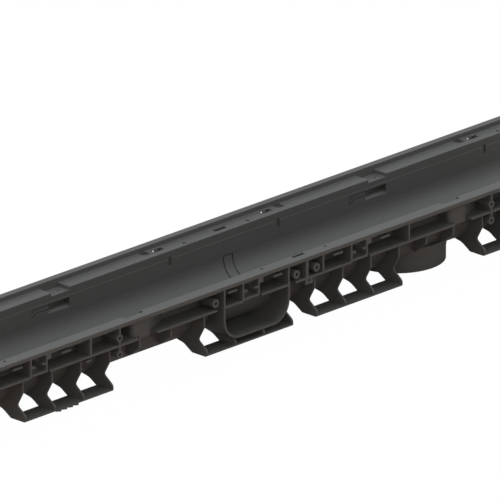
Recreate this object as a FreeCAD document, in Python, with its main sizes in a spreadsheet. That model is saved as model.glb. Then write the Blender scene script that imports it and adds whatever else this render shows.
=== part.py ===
import FreeCAD, Part

import math
import os
import types

import Sketcher

# Drainage channel body, one metre long, injection moulded in one piece with its grate seat,
# ribs, feet, two branch collars and a vertical outlet spigot.
# +X runs along the channel and +Z is up. The origin is under the middle, at the lowest point.
# Heights are kept as depths under the rim's top face, from which the moulding is levelled.
# The near side (-Y) is drawn once. The far side is the same turned half round about Z,
# so either end can meet either end of the next channel.

sizes = {
    # overall
    "channelLength": 1000.0,
    "channelWidth": 160.0,
    "overallHeight": 79.5,
    "overlap": 1.0,  # how far ribs and cutters run into or past what they meet
    # rim and grate seat
    "rimWidth": 9.0,
    "rimThickness": 2.6,
    "rimEdgeRadius": 0.8,
    "lipDepth": 4.4,
    "lipThickness": 2.2,
    "seatDepth": 6.0,
    "seatThickness": 2.6,
    "seatCornerRadius": 1.0,
    # trough
    "clearWidth": 106.6,
    "wallThickness": 2.6,
    "wallStepDepth": 15.5,
    "wallStepWidth": 0.4,
    "troughDepth": 61.3,
    "troughRadius": 25.0,
    # outer ribs
    "ribThickness": 2.4,
    "shelfDepth": 23.8,
    "shelfThickness": 2.4,
    "seamRibThickness": 4.0,
    "stoutRibThickness": 3.0,
    # latch boxes, which the grate's latches drop into
    "latchWidth": 24.4,
    "latchFloorRise": 1.5,
    "latchGap": 4.6,
    "latchStubLength": 5.5,
    "latchStubDepth": 13.0,
    "latchStubHeight": 2.2,
    "latchStubReach": 4.0,
    "latchTabLength": 5.5,
    "latchTabDepth": 10.6,
    # rings for screws and stacking pins
    "ringDepth": 16.2,
    "ringRadius": 4.9,
    "ringHoleRadius": 2.1,
    "lowerRingDepth": 35.2,
    "pairRingRadius": 4.4,
    "pairRingHoleRadius": 1.9,
    # square eye and bracket under the shelf
    "eyeLeft": -2.7,
    "eyeWidth": 11.6,
    "eyeDepth": 32.2,
    "eyeHoleRadius": 1.6,
    "bracketLeft": -346.0,
    "bracketWidth": 8.0,
    "bracketDepth": 28.4,
    # short tabs under the flange
    "tabLength": 14.0,
    "tabDepth": 7.9,
    "tabHeight": 2.2,
    # branch collar
    "collarCentre": -79.4,
    "collarWidth": 103.4,
    "collarWall": 2.4,
    "collarDepth": 65.4,
    "collarRadius": 25.0,
    "collarInset": 5.7,
    # grate lock
    "lockWidth": 28.6,
    "lockNotchDepth": 4.0,
    "lockHousingBack": 17.2,
    "lockHousingFlat": 7.0,
    "lockHousingRun": 50.0,
    "lockHousingReach": 73.0,
    "lockHousingDepth": 28.5,
    "lockHousingRadius": 5.0,
    "lockPocketTop": 18.0,
    "lockPocketBottom": 28.6,
    "lockPocketLeft": 18.2,
    "lockPocketRight": 14.6,
    "lockPocketReach": 9.0,
    "lockPocketShallow": 5.0,
    "lockSillRun": 3.0,
    "lockSillRise": 2.6,
    "lockFloorRise": 2.0,
    "lockSweepLeft": 44.5,
    "lockSweepDepth": 1.4,
    "lockRidgeTop": 20.8,
    "lockRidgeThickness": 1.8,
    "lockRidgeKnee": 38.0,
    "lockRidgeDrop": 4.4,
    "lockRidgeRadius": 12.0,
    "lockHoleRadius": 1.4,
    "lockHoleOffset": 4.0,
    "lockHoleAcross": 61.3,
    # feet
    "footPitch": 44.7,
    "footRibThickness": 2.2,
    "footRibCount": 4.0,
    "footBaseDepth": 74.5,
    "footBaseThickness": 2.5,
    "footBaseWidth": 22.4,
    "footEdgeRadius": 2.3,
    "footNeckWidth": 75.4,
    "footNeckDepth": 41.5,
    "footNeckRadius": 5.0,
    "footWaistWidth": 66.4,
    "footWaistDepth": 57.6,
    "footWaistRadius": 3.5,
    "footHeelDepth": 67.6,
    "footHeelRadius": 5.0,
    "archRootOffset": 2.7,
    "archTopDepth": 50.0,
    "archKneeWidth": 45.0,
    "archKneeDepth": 66.6,
    "archRadius": 18.0,
    "toothPitch": 8.9,
    "toothHeight": 1.6,
    "toothCount": 4.0,
    # short webs that carry the shelf
    "webDepth": 38.0,
    "webToeWidth": 60.0,
    "webToeDepth": 50.0,
    # outlet spigot
    "spigotCentre": 225.0,
    "spigotRadius": 55.0,
    "spigotWall": 3.0,
    "spigotReach": 14.5,
    "spigotSpread": 2.0,
    "spigotRootDepth": 51.5,
    # small openings in the grate seat
    "pinHoleRadius": 2.3,
    "pinHoleOffset": 59.3,
    "latchSlotLength": 15.0,
    "latchSlotInner": 61.8,
    "latchSlotOuter": 68.4,
    "latchWindowSkin": 0.9,
    "latchRecessStart": 1.0,
    "latchRecessLength": 10.0,
    "latchRecessDepth": 2.1,
    "latchWindowOuter": 73.5,
    "drainSlotLeft": -0.5,
    "drainSlotLength": 18.5,
    "drainSlotFar": 59.4,
    "drainSlotNear": 55.5,
    "drainSlotWidth": 5.8,
    # shallow marks inside the trough
    "markWidth": 4.4,
    "markTop": 14.0,
    "markBottom": 23.6,
    "markDepth": 1.8,
    "markOffset": 6.2,
    "tongueLeft": 4.4,
    "tongueRight": 20.6,
    "tongueTop": 34.4,
    "tongueGroove": 1.8,
    "tongueDepth": 1.4,
    "tongueRun": 4.0,
}

# Places along the channel, measured from its middle. The latch and lock pattern repeats
# every 500, the length of one grate.
latch_starts = (-431.0, -100.6, 70.3, 399.4)
lock_centres = (-250.2, 249.8)
foot_starts = (-439.9, -158.4, 15.1, 282.5)
first_tooth_tip = -384.4
shelf_runs = (
    (-500.0, -431.0), (-402.0, -264.5), (-234.5, -141.5), (-129.5, -100.6),
    (-71.6, -29.0), (-18.0, 70.3), (99.3, 235.0), (261.0, 399.4), (428.4, 500.0),
)
latch_recesses = (-401.0, -112.4, 99.0, 387.6)
plain_ribs = (-293.4, 25.7, 161.8, 293.4)
stout_ribs = (-498.5, -338.3, 338.3, 498.5)
paired_rings = (-293.4, 293.4)
single_rings = (-143.7, -16.6, 15.1)
flange_tabs = (-451.2, -376.2, -117.2, -46.2, 49.3, 123.8, 377.3)
shelf_webs = (-498.8, -258.0, -209.0, 194.0, 237.0, 498.8)
pin_holes = (-450.0, -50.0, 50.0, 450.0)

doc = FreeCAD.newDocument("channel_drain")
sheet = doc.addObject("Spreadsheet::Sheet", "sizes")
for row, (alias, value) in enumerate(sizes.items(), start=1):
    sheet.set(f"A{row}", alias)
    sheet.set(f"B{row}", str(value))
    sheet.setAlias(f"B{row}", alias)
doc.recompute()


class Dim:
    """A number together with the spreadsheet formula that it comes from."""

    def __init__(self, value, formula):
        self.value = value
        self.formula = formula

    def __add__(self, other):
        other = dim(other)
        return Dim(self.value + other.value, f"({self.formula} + {other.formula})")

    def __sub__(self, other):
        other = dim(other)
        return Dim(self.value - other.value, f"({self.formula} - {other.formula})")

    def __mul__(self, factor):
        return Dim(self.value * factor, f"({self.formula} * {factor})")

    def __neg__(self):
        return self * -1

    def __radd__(self, other):
        return dim(other) + self

    def __rsub__(self, other):
        return dim(other) - self


def dim(number):
    return number if isinstance(number, Dim) else Dim(float(number), f"({float(number)})")


d = types.SimpleNamespace(**{alias: Dim(value, f"sizes.{alias}") for alias, value in sizes.items()})

half_width = d.channelWidth * 0.5
half_clear = d.clearWidth * 0.5
wall_middle = half_clear + d.wallThickness * 0.5


def level(depth):
    """The height of something that lies depth under the rim's top face."""
    return d.overallHeight - depth


# ---------------------------------------------------------------- drawing

def new_body(name):
    """A body for one family of ribs or cuts; its solids may stand apart until they are joined."""
    body = doc.addObject("PartDesign::Body", name)
    body.AllowCompound = True
    return body


def origin_feature(body, role):
    return next(item for item in body.Origin.OriginFeatures if item.Role == role)


def new_sketch(body, name, plane, offset=0):
    """A sketch on one of the body's origin planes, moved along that plane's normal."""
    offset = dim(offset)
    sketch = body.newObject("Sketcher::SketchObject", name)
    sketch.AttachmentSupport = [(origin_feature(body, plane), "")]
    sketch.MapMode = "FlatFace"
    sketch.AttachmentOffset = FreeCAD.Placement(FreeCAD.Vector(0, 0, offset.value), FreeCAD.Rotation())
    sketch.setExpression("AttachmentOffset.Base.z", offset.formula)
    return sketch


def tie_point(sketch, geometry, position, x, y):
    """Ties a point of the sketch to two sheet formulas."""
    for kind, place in (("DistanceX", x), ("DistanceY", y)):
        index = sketch.addConstraint(Sketcher.Constraint(kind, -1, 1, geometry, position, place.value))
        sketch.setExpression(f"Constraints[{index}]", place.formula)


def outline(sketch, corners):
    """A closed outline through corners (x, y) or (x, y, radius); a radius rounds the corner."""
    corners = [tuple(dim(number) for number in corner) for corner in corners]
    count = len(corners)
    points = [FreeCAD.Vector(corner[0].value, corner[1].value, 0) for corner in corners]
    leave, arrive, arcs = [], [], []
    for index, corner in enumerate(corners):
        here = points[index]
        if len(corner) == 2:
            leave.append(here)
            arrive.append(here)
            arcs.append(None)
            continue
        back = (points[index - 1] - here).normalize()
        ahead = (points[(index + 1) % count] - here).normalize()
        half_angle = back.getAngle(ahead) / 2
        radius = corner[2].value
        trim = radius / math.tan(half_angle)
        centre = here + (back + ahead).normalize() * (radius / math.sin(half_angle))
        arrive.append(here + back * trim)
        leave.append(here + ahead * trim)
        turns_left = back.cross(ahead).z < 0
        first, last = (arrive[index], leave[index]) if turns_left else (leave[index], arrive[index])
        start_angle = math.atan2(first.y - centre.y, first.x - centre.x)
        end_angle = math.atan2(last.y - centre.y, last.x - centre.x)
        circle = Part.Circle(centre, FreeCAD.Vector(0, 0, 1), radius)
        arcs.append((Part.ArcOfCircle(circle, start_angle, end_angle), turns_left))

    lines = [
        sketch.addGeometry(Part.LineSegment(leave[index], arrive[(index + 1) % count]), False)
        for index in range(count)
    ]
    for index, corner in enumerate(corners):
        incoming, outgoing = lines[index - 1], lines[index]
        if arcs[index] is None:
            sketch.addConstraint(Sketcher.Constraint("Coincident", incoming, 2, outgoing, 1))
            tie_point(sketch, outgoing, 1, corner[0], corner[1])
            continue
        arc, turns_left = arcs[index]
        arc_line = sketch.addGeometry(arc, False)
        vertex = sketch.addGeometry(Part.Point(points[index]), True)
        start, end = (1, 2) if turns_left else (2, 1)
        sketch.addConstraint([
            Sketcher.Constraint("Tangent", incoming, 2, arc_line, start),
            Sketcher.Constraint("Tangent", outgoing, 1, arc_line, end),
            Sketcher.Constraint("PointOnObject", vertex, 1, incoming),
            Sketcher.Constraint("PointOnObject", vertex, 1, outgoing),
        ])
        tie_point(sketch, vertex, 1, corner[0], corner[1])
        tied = sketch.addConstraint(Sketcher.Constraint("Radius", arc_line, corner[2].value))
        sketch.setExpression(f"Constraints[{tied}]", corner[2].formula)


def rectangle(sketch, left, right, bottom, top):
    outline(sketch, [(left, bottom), (right, bottom), (right, top), (left, top)])


def circle(sketch, x, y, radius):
    x, y = dim(x), dim(y)
    centre = FreeCAD.Vector(x.value, y.value, 0)
    round_line = sketch.addGeometry(Part.Circle(centre, FreeCAD.Vector(0, 0, 1), radius.value), False)
    tie_point(sketch, round_line, 3, x, y)
    tied = sketch.addConstraint(Sketcher.Constraint("Radius", round_line, radius.value))
    sketch.setExpression(f"Constraints[{tied}]", radius.formula)


def mirrored(half):
    """Both halves of an outline that starts and ends on the middle line, drawn for +Y."""
    return half + [(-dim(corner[0]), *corner[1:]) for corner in reversed(half)]


def add_pad(body, name, sketch, length, backwards=False, symmetric=False):
    pad = body.newObject("PartDesign::Pad", name)
    pad.Profile = sketch
    pad.SideType = "Symmetric" if symmetric else "One side"
    pad.Reversed = backwards
    pad.setExpression("Length", dim(length).formula)
    sketch.Visibility = False
    return pad


def joined(name, pieces):
    fuse = doc.addObject("Part::MultiFuse", name)
    fuse.Shapes = pieces
    return fuse


def cleared(name, piece, cutter):
    cut = doc.addObject("Part::Cut", name)
    cut.Base = piece
    cut.Tool = cutter
    return cut


def turned_round(name, piece):
    """The same piece after half a turn about the vertical axis, as two mirrorings."""
    across = doc.addObject("Part::Mirroring", name + "_across")
    across.Source = piece
    across.Normal = FreeCAD.Vector(0, 1, 0)
    along = doc.addObject("Part::Mirroring", name)
    along.Source = across
    along.Normal = FreeCAD.Vector(1, 0, 0)
    return along


# ---------------------------------------------------------------- trough and outlet

def make_trough():
    """The outer section of the whole channel, still solid inside."""
    seat_wall = half_width - d.rimWidth + d.seatThickness
    outer_wall = half_clear + d.wallThickness
    floor = level(d.troughDepth + d.wallThickness)
    half = [
        (outer_wall, floor, d.troughRadius + d.wallThickness),
        (outer_wall, level(d.wallStepDepth)),
        (outer_wall + d.wallStepWidth, level(d.wallStepDepth)),
        (outer_wall + d.wallStepWidth, level(d.seatDepth + d.seatThickness)),
        (seat_wall, level(d.seatDepth + d.seatThickness)),
        (seat_wall, level(d.rimThickness)),
        (half_width - d.lipThickness, level(d.rimThickness)),
        (half_width - d.lipThickness, level(d.lipDepth)),
        (half_width, level(d.lipDepth)),
        (half_width, level(0), d.rimEdgeRadius),
    ]
    body = new_body("trough")
    sketch = new_sketch(body, "trough_section", "YZ_Plane")
    outline(sketch, mirrored(half))
    add_pad(body, "trough_pad", sketch, d.channelLength, symmetric=True)
    return body


def make_hollow():
    """The water way and the grate seat, as the shape that is cleared from end to end."""
    seat_edge = half_width - d.rimWidth
    above = level(0) + d.overlap
    half = [
        (half_clear, level(d.troughDepth), d.troughRadius),
        (half_clear, level(d.wallStepDepth)),
        (half_clear + d.wallStepWidth, level(d.wallStepDepth)),
        (half_clear + d.wallStepWidth, level(d.seatDepth), d.rimEdgeRadius),
        (seat_edge, level(d.seatDepth), d.seatCornerRadius),
        (seat_edge, above),
    ]
    body = new_body("hollow")
    sketch = new_sketch(body, "hollow_section", "YZ_Plane")
    outline(sketch, mirrored(half))
    add_pad(body, "hollow_pad", sketch, d.channelLength + d.overlap * 2, symmetric=True)
    return body


def make_spigot():
    """A pipe end under the trough, whose root spreads a little so that the pipe's socket stops there.

    The trough's floor blanks it until it is knocked out."""
    top = level(d.spigotRootDepth)
    pipe = new_body("spigot_pipe")
    section = new_sketch(pipe, "spigot_section", "XY_Plane")
    circle(section, d.spigotCentre, 0, d.spigotRadius)
    add_pad(pipe, "spigot_pad", section, d.spigotReach)
    root = doc.addObject("Part::Cone", "spigot_root")
    root.setExpression("Placement.Base.x", d.spigotCentre.formula)
    root.setExpression("Placement.Base.z", d.spigotReach.formula)
    root.setExpression("Radius1", d.spigotRadius.formula)
    root.setExpression("Radius2", (d.spigotRadius + d.spigotSpread).formula)
    root.setExpression("Height", (top - d.spigotReach).formula)
    bore = new_body("spigot_bore")
    inside = new_sketch(bore, "spigot_bore_section", "XY_Plane", -d.overlap)
    circle(inside, d.spigotCentre, 0, d.spigotRadius - d.spigotWall)
    add_pad(bore, "spigot_bore_pad", inside, top + d.overlap * 2)
    return cleared("spigot", joined("spigot_outside", [pipe, root]), bore)


# ---------------------------------------------------------------- outer ribs

def side_pad(name, draw, inner=wall_middle, outer=half_width):
    """Pads a near-side view from the distance outer from the middle, inward to inner."""
    body = new_body(name)
    sketch = new_sketch(body, name + "_view", "XZ_Plane", outer)
    draw(sketch)
    add_pad(body, name + "_pad", sketch, outer - inner, backwards=True)
    return body


def draw_shelf(sketch):
    bottom, top = level(d.shelfDepth + d.shelfThickness), level(d.shelfDepth)
    for left, right in shelf_runs:
        rectangle(sketch, left, right, bottom, top)


def draw_latch_boxes(sketch):
    """Two uprights with a floor between them, open towards the near side."""
    thick = d.ribThickness * 0.5
    under = level(d.rimThickness)
    floor = level(d.shelfDepth + d.shelfThickness) + d.latchFloorRise
    floor_top = level(d.shelfDepth) + d.latchFloorRise
    for start in latch_starts:
        end = start + d.latchWidth
        outline(sketch, [
            (start - thick, floor), (end + thick, floor), (end + thick, under), (end - thick, under),
            (end - thick, floor_top), (start + thick, floor_top), (start + thick, under),
            (start - thick, under),
        ])


def draw_latch_stubs(sketch):
    """The two stubs inside each latch box, and the square tab beside it."""
    thick = d.ribThickness * 0.5
    bottom, top = level(d.latchStubDepth + d.latchStubHeight), level(d.latchStubDepth)
    for start in latch_starts:
        end = start + d.latchWidth
        rectangle(sketch, start + thick * 0.5, start + thick + d.latchStubLength, bottom, top)
        rectangle(sketch, end - thick - d.latchStubLength, end - thick * 0.5, bottom, top)
        rectangle(sketch, end + thick * 0.5, end + thick + d.latchTabLength,
                  level(d.latchTabDepth), level(d.rimThickness))


def draw_uprights(sketch):
    """The plain cross ribs between flange and shelf."""
    bottom, top = level(d.shelfDepth + d.shelfThickness), level(d.rimThickness)
    for places, thickness in ((plain_ribs, d.ribThickness), (stout_ribs, d.stoutRibThickness),
                              ((0.0,), d.seamRibThickness)):
        for place in places:
            rectangle(sketch, place - thickness * 0.5, place + thickness * 0.5, bottom, top)


def draw_rings(sketch):
    for place in single_rings:
        circle(sketch, place, level(d.ringDepth), d.ringRadius)
    for place in paired_rings:
        circle(sketch, place, level(d.ringDepth), d.pairRingRadius)
        circle(sketch, place, level(d.lowerRingDepth), d.pairRingRadius)


def draw_shelf_hangers(sketch):
    """What hangs under the shelf: the stems of the lower rings, a square eye and a small bracket."""
    thick = d.ribThickness * 0.5
    under_shelf = level(d.shelfDepth + d.shelfThickness * 0.5)
    for place in paired_rings:
        rectangle(sketch, place - thick, place + thick, level(d.lowerRingDepth), under_shelf)
    rectangle(sketch, d.eyeLeft, d.eyeLeft + d.eyeWidth, level(d.eyeDepth), under_shelf)
    rectangle(sketch, d.bracketLeft, d.bracketLeft + d.bracketWidth,
              level(d.bracketDepth + d.ribThickness), level(d.bracketDepth))


def draw_flange_tabs(sketch):
    for place in flange_tabs:
        rectangle(sketch, place - d.tabLength * 0.5, place + d.tabLength * 0.5,
                  level(d.tabDepth + d.tabHeight), level(d.tabDepth))


def collar_line(wall):
    """The U of the side branch, taken in by wall from its outer face."""
    half = d.collarWidth * 0.5 - wall
    left, right = d.collarCentre - half, d.collarCentre + half
    bottom, top = level(d.collarDepth) + wall, level(d.rimThickness)
    radius = d.collarRadius - wall
    return [(left, top), (left, bottom, radius), (right, bottom, radius), (right, top)]


def draw_collar(sketch):
    """One wall along the U, open at the top."""
    outline(sketch, collar_line(dim(0)) + collar_line(d.collarWall)[::-1])


def draw_collar_space(sketch):
    """The inside of the U, which the ribs of the foot below leave free."""
    outline(sketch, collar_line(d.collarWall))


def make_lock_housings():
    """The bulges behind the lock pockets, drawn from above: deep at one end, faded out at the other."""
    body = new_body("lock_housings")
    sketch = new_sketch(body, "lock_housings_plan", "XY_Plane", level(d.lockHousingDepth))
    for far_centre in lock_centres:
        centre = -far_centre
        back = centre - d.lockHousingBack
        outline(sketch, [
            (back, -wall_middle), (back, -d.lockHousingReach, d.lockHousingRadius),
            (centre + d.lockHousingFlat, -d.lockHousingReach, d.lockHousingRadius),
            (centre + d.lockHousingRun, -wall_middle),
        ])
    add_pad(body, "lock_housings_pad", sketch, d.lockHousingDepth - d.rimThickness)
    return body


# ---------------------------------------------------------------- feet

def make_web(number, place):
    """A short triangular web that carries the shelf."""
    body = new_body(f"web_{number}")
    sketch = new_sketch(body, f"web_{number}_section", "YZ_Plane", place)
    top = level(d.shelfDepth + d.overlap)
    outline(sketch, [
        (-wall_middle, top), (-wall_middle, level(d.webToeDepth)),
        (-d.webToeWidth, level(d.webToeDepth)), (-d.footNeckWidth, level(d.webDepth)),
        (-d.footNeckWidth, top),
    ])
    add_pad(body, f"web_{number}_pad", sketch, d.ribThickness, symmetric=True)
    return body


def draw_foot_rib(sketch):
    """One arched rib: neck under the shelf, waist, heel, base and the arch back to the trough."""
    base = level(d.footBaseDepth)
    top = level(d.shelfDepth + d.overlap)
    root = half_clear - d.troughRadius + d.archRootOffset
    outline(sketch, [
        (-half_clear, top),
        (-half_clear, level(d.archTopDepth)),
        (-root, level(d.troughDepth + d.overlap)),
        (-root, level(d.troughDepth + d.wallThickness)),
        (-d.archKneeWidth, level(d.archKneeDepth), d.archRadius),
        (-(half_width - d.footBaseWidth), base, d.footEdgeRadius),
        (-half_width, base, d.footEdgeRadius),
        (-half_width, level(d.footHeelDepth), d.footHeelRadius),
        (-d.footWaistWidth, level(d.footWaistDepth), d.footWaistRadius),
        (-d.footNeckWidth, level(d.footNeckDepth), d.footNeckRadius),
        (-d.footNeckWidth, top),
    ])


def draw_foot_base(sketch):
    bottom = level(d.footBaseDepth)
    top = bottom + d.footBaseThickness
    inner = half_width - d.footBaseWidth
    outline(sketch, [
        (-inner, bottom), (-half_width, bottom, d.footEdgeRadius), (-half_width, top), (-inner, top),
    ])


def make_foot(number, start):
    """A base strip with evenly spaced arched ribs across it."""
    name = f"foot_{number}"
    run = d.footPitch * (sizes["footRibCount"] - 1)
    body = new_body(name)
    section = new_sketch(body, name + "_base_section", "YZ_Plane", start)
    draw_foot_base(section)
    add_pad(body, name + "_base", section, run + d.footRibThickness)
    profile = new_sketch(body, name + "_rib_section", "YZ_Plane", start)
    draw_foot_rib(profile)
    rib = add_pad(body, name + "_rib", profile, d.footRibThickness)
    doc.recompute()
    row = body.newObject("PartDesign::LinearPattern", name + "_ribs")
    row.Originals = [rib]
    row.Direction = (origin_feature(body, "X_Axis"), [""])
    row.Mode = "Extent"
    row.setExpression("Length", run.formula)
    row.Occurrences = int(sizes["footRibCount"])
    body.Tip = row
    return body


# ---------------------------------------------------------------- openings and marks

def side_cut(name, draw, start, depth):
    """A cutter for the far side, from the distance start from the middle outward."""
    body = new_body(name)
    sketch = new_sketch(body, name + "_view", "XZ_Plane", -start)
    draw(sketch)
    add_pad(body, name + "_pad", sketch, depth, backwards=True)
    return body


def seat_cut(name, draw, depth):
    """A cutter for the far seat, from just above the seat down to depth under it."""
    body = new_body(name)
    sketch = new_sketch(body, name + "_plan", "XY_Plane", level(d.seatDepth) + d.overlap)
    draw(sketch)
    add_pad(body, name + "_pad", sketch, depth + d.overlap, backwards=True)
    return body


def draw_ring_holes(sketch):
    for place in single_rings:
        circle(sketch, -place, level(d.ringDepth), d.ringHoleRadius)
    for place in paired_rings:
        circle(sketch, -place, level(d.ringDepth), d.pairRingHoleRadius)
        circle(sketch, -place, level(d.lowerRingDepth), d.pairRingHoleRadius)
    circle(sketch, -(d.eyeLeft + d.eyeWidth * 0.5), level(d.eyeDepth - d.ringHoleRadius * 2), d.eyeHoleRadius)


def draw_drain_slots(sketch):
    """The slot beside the seam in the middle of both seats, nearer the water on the near side."""
    right = d.drainSlotLeft + d.drainSlotLength
    rectangle(sketch, d.drainSlotLeft, right, d.drainSlotFar, d.drainSlotFar + d.drainSlotWidth)
    rectangle(sketch, d.drainSlotLeft, right, -d.drainSlotNear - d.drainSlotWidth, -d.drainSlotNear)


def draw_teeth(sketch):
    """Saw teeth under one foot, which bite into the bedding."""
    base = level(d.footBaseDepth)
    for number in range(int(sizes["toothCount"])):
        tip = dim(first_tooth_tip) + d.toothPitch * number
        outline(sketch, [
            (tip - d.toothPitch + d.overlap, base), (tip, base - d.toothHeight),
            (tip, base + d.overlap), (tip - d.toothPitch + d.overlap, base + d.overlap),
        ])


def draw_pin_holes(sketch):
    for place in pin_holes:
        circle(sketch, place, d.pinHoleOffset, d.pinHoleRadius)


def latch_slot_ends(start):
    left = -(start + d.latchWidth - d.ribThickness * 0.5)
    return left, left + d.latchSlotLength


def draw_latch_slots(sketch):
    """The slots through the seat into the latch boxes, turned round to the far side."""
    for start in latch_starts:
        rectangle(sketch, *latch_slot_ends(start), d.latchSlotInner, d.latchSlotOuter)


def make_latch_windows():
    """Under the seat each slot opens outward through the rim's wall, where the latch hooks in."""
    body = new_body("latch_windows")
    sketch = new_sketch(body, "latch_windows_plan", "XY_Plane", level(d.seatDepth + d.latchWindowSkin))
    for start in latch_starts:
        rectangle(sketch, *latch_slot_ends(start), d.latchSlotInner, d.latchWindowOuter)
    add_pad(body, "latch_windows_pad", sketch, d.seatThickness + d.overlap, backwards=True)
    return body


def draw_latch_recesses(sketch):
    for start in latch_recesses:
        right = -(start + d.latchRecessStart)
        rectangle(sketch, right - d.latchRecessLength, right, d.latchSlotInner, half_width - d.rimWidth)


def draw_lock_notches(sketch):
    half = d.lockWidth * 0.5
    for centre in lock_centres:
        rectangle(sketch, -centre - half, -centre + half, half_clear - d.overlap,
                  half_width - d.rimWidth)


def draw_lock_holes(sketch):
    for centre in lock_centres:
        circle(sketch, -centre + d.lockHoleOffset, d.lockHoleAcross, d.lockHoleRadius)


def make_lock_pocket(number, centre):
    """A pocket in the far wall for the turned lock bar, deepest at the top and at its right end."""
    left, right = centre - d.lockPocketLeft, centre + d.lockPocketRight
    inner = half_clear - d.overlap
    top, bottom = level(d.lockPocketTop), level(d.lockPocketBottom)
    plan_body = new_body(f"lock_plan_{number}")
    plan = new_sketch(plan_body, f"lock_plan_{number}_view", "XY_Plane", bottom)
    outline(plan, [
        (left, inner), (right, inner), (right, half_clear + d.lockPocketReach),
        (left, half_clear + d.lockPocketShallow),
    ])
    add_pad(plan_body, f"lock_plan_{number}_pad", plan, d.lockPocketBottom - d.lockPocketTop)
    wedge_body = new_body(f"lock_wedge_{number}")
    wedge = new_sketch(wedge_body, f"lock_wedge_{number}_section", "YZ_Plane", left)
    sill = bottom + d.lockSillRise
    outline(wedge, [
        (inner, bottom), (half_clear, bottom), (half_clear + d.lockSillRun, sill),
        (half_clear + d.lockPocketReach, sill + d.lockFloorRise), (half_clear + d.lockPocketReach, top),
        (inner, top),
    ])
    add_pad(wedge_body, f"lock_wedge_{number}_pad", wedge, d.lockPocketLeft + d.lockPocketRight)
    pocket = doc.addObject("Part::MultiCommon", f"lock_pocket_{number}")
    pocket.Shapes = [plan_body, wedge_body]
    return pocket


def draw_lock_sweeps(sketch):
    """The shallow track of the lock bar beside each pocket, with a bent ridge left along it."""
    ridge_top, ridge_bottom = d.lockRidgeTop, d.lockRidgeTop + d.lockRidgeThickness
    track_bottom = ridge_bottom + d.lockRidgeThickness
    for centre in lock_centres:
        right = centre - d.lockPocketLeft + d.overlap
        left = centre - d.lockSweepLeft
        knee = centre - d.lockRidgeKnee
        outline(sketch, [
            (left, level(d.lockPocketTop)), (right, level(d.lockPocketTop)),
            (right, level(ridge_top)), (knee, level(ridge_top), d.lockRidgeRadius),
            (left - d.lockRidgeThickness, level(ridge_top + d.lockRidgeDrop)),
        ])
        outline(sketch, [
            (right, level(ridge_bottom)), (knee, level(ridge_bottom), d.lockRidgeRadius),
            (left - d.overlap, level(ridge_bottom + d.lockRidgeDrop)),
            (left, level(track_bottom + d.lockRidgeDrop)),
            (knee, level(track_bottom), d.lockRidgeRadius), (right, level(track_bottom)),
        ])


def draw_wall_marks(sketch):
    for start in latch_starts:
        left = -(start + d.markOffset + d.markWidth)
        rectangle(sketch, left, left + d.markWidth, level(d.markBottom), level(d.markTop))


def make_tongue_groove():
    """A groove round a tongue that runs down the wall and round the corner to the floor."""
    deep = d.tongueDepth

    def draw(sketch, top, inner):
        outer_radius = d.troughRadius + deep
        outline(sketch, [
            (half_clear - inner, top), (half_clear + deep, top),
            (half_clear + deep, level(d.troughDepth + deep), outer_radius),
            (half_clear - d.troughRadius - d.tongueRun, level(d.troughDepth + deep)),
            (half_clear - d.troughRadius - d.tongueRun, level(d.troughDepth - inner)),
            (half_clear - inner, level(d.troughDepth - inner), d.troughRadius - inner),
        ])

    body = new_body("tongue_groove")
    groove = new_sketch(body, "groove_section", "YZ_Plane", d.tongueLeft)
    draw(groove, level(d.tongueTop), dim(1))
    add_pad(body, "groove_pad", groove, d.tongueRight - d.tongueLeft)
    tongue = new_sketch(body, "tongue_section", "YZ_Plane", d.tongueLeft + d.tongueGroove)
    draw(tongue, level(d.tongueTop + d.tongueGroove), dim(2))
    pocket = body.newObject("PartDesign::Pocket", "tongue_pocket")
    pocket.Profile = tongue
    pocket.Reversed = True
    pocket.setExpression("Length", (d.tongueRight - d.tongueLeft - d.tongueGroove * 2).formula)
    return body


# ---------------------------------------------------------------- build

collar_space = side_pad("collar_space", draw_collar_space, half_clear - d.troughRadius,
                        half_width + d.overlap)
feet = joined("whole_feet", [make_foot(number, start) for number, start in enumerate(foot_starts, start=1)])
near_pieces = [
    side_pad("shelf", draw_shelf),
    side_pad("latch_boxes", draw_latch_boxes),
    side_pad("latch_stubs", draw_latch_stubs, half_width - d.latchStubReach),
    side_pad("uprights", draw_uprights),
    side_pad("rings", draw_rings),
    side_pad("shelf_hangers", draw_shelf_hangers),
    side_pad("flange_tabs", draw_flange_tabs),
    side_pad("collar", draw_collar, half_clear - d.troughRadius + d.collarInset),
    make_lock_housings(),
    side_pad("teeth", draw_teeth, half_width - d.footBaseWidth + d.footEdgeRadius),
    *[make_web(number, place) for number, place in enumerate(shelf_webs, start=1)],
    cleared("feet", feet, collar_space),
]
near_side = joined("near_side", near_pieces)
moulding = joined("moulding", [
    make_trough(), make_spigot(), near_side, turned_round("far_side", near_side),
])

through_seat = d.seatThickness + d.overlap
far_cutters = [
    side_cut("ring_holes", draw_ring_holes, half_clear + d.wallThickness + d.overlap, half_width),
    seat_cut("pin_holes", draw_pin_holes, through_seat),
    seat_cut("latch_slots", draw_latch_slots, through_seat),
    make_latch_windows(),
    seat_cut("latch_recesses", draw_latch_recesses, d.latchRecessDepth),
    seat_cut("lock_notches", draw_lock_notches, d.lockNotchDepth),
    seat_cut("lock_holes", draw_lock_holes, d.lockNotchDepth + d.seatThickness),
    side_cut("wall_marks", draw_wall_marks, half_clear - d.overlap, d.markDepth + d.overlap),
    side_cut("lock_sweeps", draw_lock_sweeps, half_clear - d.overlap, d.lockSweepDepth + d.overlap),
    *[make_lock_pocket(number, centre) for number, centre in enumerate(lock_centres, start=1)],
    make_tongue_groove(),
]
far_cuts = joined("far_cuts", far_cutters)
cuts = joined("cuts", [
    make_hollow(), seat_cut("drain_slots", draw_drain_slots, through_seat),
    far_cuts, turned_round("near_cuts", far_cuts),
])

channel = cleared("channel_body", moulding, cuts)
channel.Label = "channel_body"
channel.Refine = True

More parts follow.
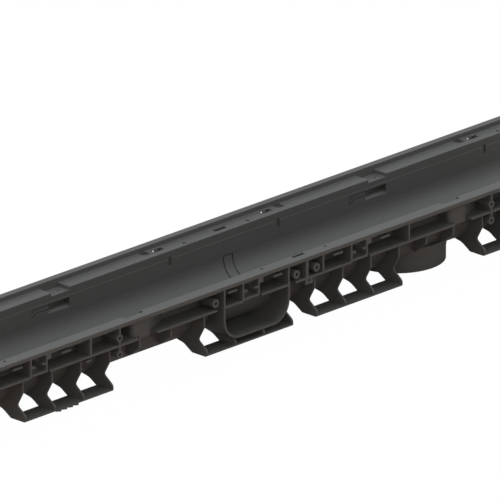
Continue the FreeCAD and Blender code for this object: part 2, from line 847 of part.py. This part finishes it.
doc.recompute()
for item in doc.Objects:
    if "Invalid" in item.State or "Error" in item.State:
        raise RuntimeError(f"{item.Name} failed: {item.State}")
shape = channel.Shape
if shape.isNull() or not shape.isValid() or len(shape.Solids) != 1:
    raise RuntimeError(f"{channel.Label} is not one valid solid")

os.makedirs("parts", exist_ok=True)
shape.exportStep(f"parts/{channel.Label}.step")
print(f"{channel.Label}: volume {shape.Volume / 1000:.1f} cm3, box {shape.BoundBox}")
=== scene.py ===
import bpy
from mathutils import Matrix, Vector

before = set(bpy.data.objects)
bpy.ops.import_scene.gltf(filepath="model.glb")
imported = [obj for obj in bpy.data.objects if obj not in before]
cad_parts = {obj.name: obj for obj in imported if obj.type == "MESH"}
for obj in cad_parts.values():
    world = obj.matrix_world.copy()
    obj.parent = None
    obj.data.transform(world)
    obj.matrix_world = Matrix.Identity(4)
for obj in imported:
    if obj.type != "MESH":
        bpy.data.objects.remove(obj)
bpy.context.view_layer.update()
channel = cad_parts["channel_body"]


class Wire:
    # a socket with operators, so that values are added and multiplied as numbers are
    def __init__(self, tree, socket=None):
        self.tree = tree
        self.socket = socket

    def add(self, kind, settings=None, sockets=None, output=0):
        node = self.tree.nodes.new(kind)
        for name, value in (settings or {}).items():
            if name == "stops":
                self.setStops(node.color_ramp.elements, value)
            else:
                setattr(node, name, value)
        for name, value in (sockets or {}).items():
            if isinstance(value, Wire):
                self.tree.links.new(value.socket, node.inputs[name])
            else:
                node.inputs[name].default_value = value
        return Wire(self.tree, node.outputs[output]) if node.outputs else None

    def setStops(self, elements, stops):
        while len(elements) < len(stops):
            elements.new(0.5)
        for element, (position, grey) in zip(elements, stops):
            element.position = position
            element.color = (grey, grey, grey, 1)

    def maths(self, operation, first, second):
        return self.add("ShaderNodeMath", {"operation": operation}, {0: first, 1: second})

    def __add__(self, other):
        return self.maths("ADD", self, other)

    def __radd__(self, other):
        return self.maths("ADD", other, self)

    def __sub__(self, other):
        return self.maths("SUBTRACT", self, other)

    def __rsub__(self, other):
        return self.maths("SUBTRACT", other, self)

    def __mul__(self, other):
        return self.maths("MULTIPLY", self, other)

    def __rmul__(self, other):
        return self.maths("MULTIPLY", other, self)


def newMaterial(name):
    material = bpy.data.materials.new(name)
    material.use_nodes = True
    material.node_tree.nodes.clear()
    return material, Wire(material.node_tree)


def mixColours(tree, factor, first, second, blend="MIX"):
    settings = {"data_type": "RGBA", "blend_type": blend}
    return tree.add("ShaderNodeMix", settings, {0: factor, 6: first, 7: second}, 2)


def addNoise(tree, place, scale, detail):
    return tree.add(
        "ShaderNodeTexNoise", sockets={"Vector": place, "Scale": scale, "Detail": detail}
    )


# injection moulded polypropylene, dark grey, with a fine spark-eroded grain
plastic = {
    "grey": (0.094, 0.0965, 0.0957, 1),
    "greyPale": (0.111, 0.113, 0.111, 1),
    # the colour of settled dust, also the colour of the painted highlight on turned edges
    "dustAndHighlight": (0.165, 0.161, 0.152, 1),
    "roughness": 0.55,
    "specular": 0.4,
    "roughnessChange": 0.12,
    "cloudScale": 7.0,
    "cloudDetail": 4.0,
    "flowStretch": (2.0, 26.0, 26.0),  # melt runs along the channel
    "flowScale": 3.0,
    "flowDetail": 3.0,
    "grainScale": 1500.0,
    "grainDetail": 2.0,
    "grainDepth": 0.00003,
    "edgeRadius": 0.0005,
    "edgeSamples": 6,
    "highlightGain": 2.5,  # how fast a turning edge takes the painted highlight
    "edgeHighlightShare": 0.35,
    "dustFacing": [(0.7, 0.0), (0.98, 1.0)],  # faces that look up, where dust settles
    "dustPatches": [(0.42, 0.0), (0.72, 1.0)],
    "dustShare": 0.12,
}


def plasticMaterial(s):
    material, tree = newMaterial("moulded grey polypropylene")
    place = tree.add("ShaderNodeTexCoord", output="Object")
    along = tree.add("ShaderNodeMapping", sockets={"Vector": place, "Scale": s["flowStretch"]})
    cloud = addNoise(tree, place, s["cloudScale"], s["cloudDetail"])
    flow = addNoise(tree, along, s["flowScale"], s["flowDetail"])
    grain = addNoise(tree, place, s["grainScale"], s["grainDetail"])
    uneven = cloud * 0.5 + flow * 0.5

    rounded = tree.add(
        "ShaderNodeBevel", {"samples": s["edgeSamples"]}, {"Radius": s["edgeRadius"]}
    )
    flat = tree.add("ShaderNodeNewGeometry", output="True Normal")
    facing = tree.add(
        "ShaderNodeVectorMath", {"operation": "DOT_PRODUCT"}, {0: rounded, 1: flat}, "Value"
    )
    # painted highlight: a mask on edges, where the rounded normal turns away from the flat one
    paintedEdgeHighlight = (1 - facing) * s["highlightGain"]
    up = tree.add("ShaderNodeSeparateXYZ", sockets={"Vector": flat}, output="Z")
    settled = tree.add("ShaderNodeValToRGB", {"stops": s["dustFacing"]}, {"Fac": up})
    dusty = tree.add("ShaderNodeValToRGB", {"stops": s["dustPatches"]}, {"Fac": uneven})

    colour = mixColours(tree, uneven, s["grey"], s["greyPale"])
    colour = mixColours(tree, settled * dusty * s["dustShare"], colour, s["dustAndHighlight"])
    # painted highlight: turned edges are lightened towards the dust colour, as if they catch
    # light
    colour = mixColours(tree, paintedEdgeHighlight * s["edgeHighlightShare"], colour, s["dustAndHighlight"])
    bump = tree.add(
        "ShaderNodeBump",
        sockets={"Height": grain, "Distance": s["grainDepth"], "Normal": rounded},
    )
    shader = tree.add(
        "ShaderNodeBsdfPrincipled",
        sockets={
            "Base Color": colour,
            "Roughness": s["roughness"] + (cloud - 0.5) * s["roughnessChange"],
            "Specular IOR Level": s["specular"],
            "Normal": bump,
        },
    )
    tree.add("ShaderNodeOutputMaterial", sockets={"Surface": shader})
    return material


mouldedGrey = plasticMaterial(plastic)
for slot in channel.material_slots:
    slot.material = mouldedGrey
print("channel body dressed")


studio = {
    "floorSide": 16.0,
    "floorColour": (0.37, 0.26, 0.22, 1),
    "floorWhite": 1.05,
    "whiteShare": 0.94,  # how much of the floor's look is plain white; the rest shows the shadow
    "reflectedShare": 0.2,  # how much of that white a reflection shows
    "ambient": (0.36, 0.347, 0.335, 1),
    "white": (1, 1, 1, 1),
    "lamps": [
        # name, direction from the channel, distance, size, strength, colour
        ("top lamp", (0.0, 0.0, 1.0), 3.2, 1.8, 24.0, (0.96, 1.0, 1.04)),
        ("back lamp", (0.0, 0.82, 0.57), 3.2, 1.8, 18.5, (0.96, 1.0, 1.04)),
        ("side lamp", (-0.82, 0.0, 0.57), 3.2, 1.8, 15.9, (0.98, 1.0, 1.02)),
        ("front lamp", (0.0, -0.82, 0.57), 3.2, 1.8, 6.0, (1.0, 1.0, 1.0)),
        ("end lamp", (0.94, 0.0, 0.34), 3.2, 1.8, 38.9, (0.93, 1.02, 1.05)),
        ("low lamp", (-0.66, -0.66, 0.34), 3.2, 1.8, 7.5, (1.1, 0.98, 0.9)),
    ],
}


def seenWhite(tree, s):
    # 1 for the camera, less in a reflection, 0 for the light that falls on the channel
    camera = tree.add("ShaderNodeLightPath", output="Is Camera Ray")
    glossy = tree.add("ShaderNodeLightPath", output="Is Glossy Ray")
    through = tree.add("ShaderNodeLightPath", output="Is Transmission Ray")
    return camera + (glossy + through) * s["reflectedShare"]


def addFloor(s):
    half = s["floorSide"] / 2
    corners = [(-half, -half, 0), (half, -half, 0), (half, half, 0), (-half, half, 0)]
    mesh = bpy.data.meshes.new("floor")
    mesh.from_pydata(corners, [], [(0, 1, 2, 3)])
    floor = bpy.data.objects.new("floor", mesh)
    bpy.context.collection.objects.link(floor)
    material, tree = newMaterial("pale floor")
    matt = tree.add("ShaderNodeBsdfDiffuse", sockets={"Color": s["floorColour"]})
    white = tree.add("ShaderNodeEmission", sockets={"Strength": s["floorWhite"]})
    share = seenWhite(tree, s) * s["whiteShare"]
    both = tree.add("ShaderNodeMixShader", sockets={0: share, 1: matt, 2: white})
    tree.add("ShaderNodeOutputMaterial", sockets={"Surface": both})
    mesh.materials.append(material)


def addWorld(s):
    world = bpy.data.worlds.new("studio")
    bpy.context.scene.world = world
    world.use_nodes = True
    world.node_tree.nodes.clear()
    tree = Wire(world.node_tree)
    colour = mixColours(tree, seenWhite(tree, s), s["ambient"], s["white"])
    light = tree.add("ShaderNodeBackground", sockets={"Color": colour, "Strength": 1.0})
    tree.add("ShaderNodeOutputWorld", sockets={"Surface": light})


def addLamps(s):
    for name, direction, distance, size, strength, colour in s["lamps"]:
        data = bpy.data.lights.new(name, "AREA")
        data.size = size
        data.energy = strength
        data.color = colour
        lamp = bpy.data.objects.new(name, data)
        bpy.context.collection.objects.link(lamp)
        away = Vector(direction).normalized()
        lamp.location = away * distance
        lamp.rotation_euler = away.to_track_quat("Z", "Y").to_euler()


addFloor(studio)
addWorld(studio)
addLamps(studio)
print("floor, world and lamps set")


# the camera stands far off the left end, a little above the rim, with a long lens
view = {
    "backward": (-0.675, -0.652, 0.347),  # from the channel towards the camera
    "lookAt": (-0.0076, 0.0, 0.06915),
    "widthSeen": 0.5482,  # metres across the picture, at the channel
    "lens": 1600.0,
    "sensor": 36.0,
    "clipStart": 1.0,
    "clipEndFactor": 2.0,  # of the camera's distance
}


def addCamera(s):
    data = bpy.data.cameras.new("camera")
    data.lens = s["lens"]
    data.sensor_width = s["sensor"]
    distance = s["widthSeen"] * s["lens"] / s["sensor"]
    data.clip_start = s["clipStart"]
    data.clip_end = s["clipEndFactor"] * distance
    camera = bpy.data.objects.new("camera", data)
    bpy.context.collection.objects.link(camera)
    backward = Vector(s["backward"]).normalized()
    camera.location = Vector(s["lookAt"]) + backward * distance
    camera.rotation_euler = backward.to_track_quat("Z", "Y").to_euler()
    bpy.context.scene.camera = camera


addCamera(view)
bpy.context.scene.view_settings.view_transform = "Standard"
print("camera set")
